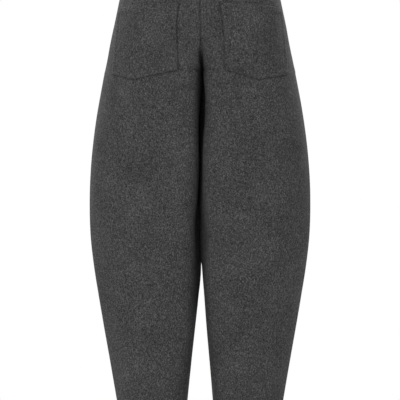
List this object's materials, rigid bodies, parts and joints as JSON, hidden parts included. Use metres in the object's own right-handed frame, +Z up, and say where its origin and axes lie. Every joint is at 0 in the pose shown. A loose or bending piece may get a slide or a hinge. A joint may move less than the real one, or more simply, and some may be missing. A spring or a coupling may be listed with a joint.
{
  "type": "barrel leg trousers",
  "caption": "Wool trousers with wide, outward-curving barrel legs, a plain waistband and large pointed patch pockets on the back.",
  "frame": {"origin": "centre of the waist, halfway up the waistband", "axes": "+Z up, towards the waistband's top; -Y towards the garment's front; +X towards the wearer's left"},
  "size_m": [0.4418, 0.2389, 0.994],
  "materials": {
    "wool": "brushed charcoal wool, mid-grey mix",
    "wool_band": "brushed charcoal wool, faced double",
    "button": "satin"
  },
  "bodies": {
    "root": {"waistband": "wool_band", "front_left": "wool", "front_right": "wool", "back_left": "wool", "back_right": "wool", "back_pocket_left": "wool", "back_pocket_right": "wool", "fly_shield": "wool", "waist_button": "button"}
  },
  "joints": []
}
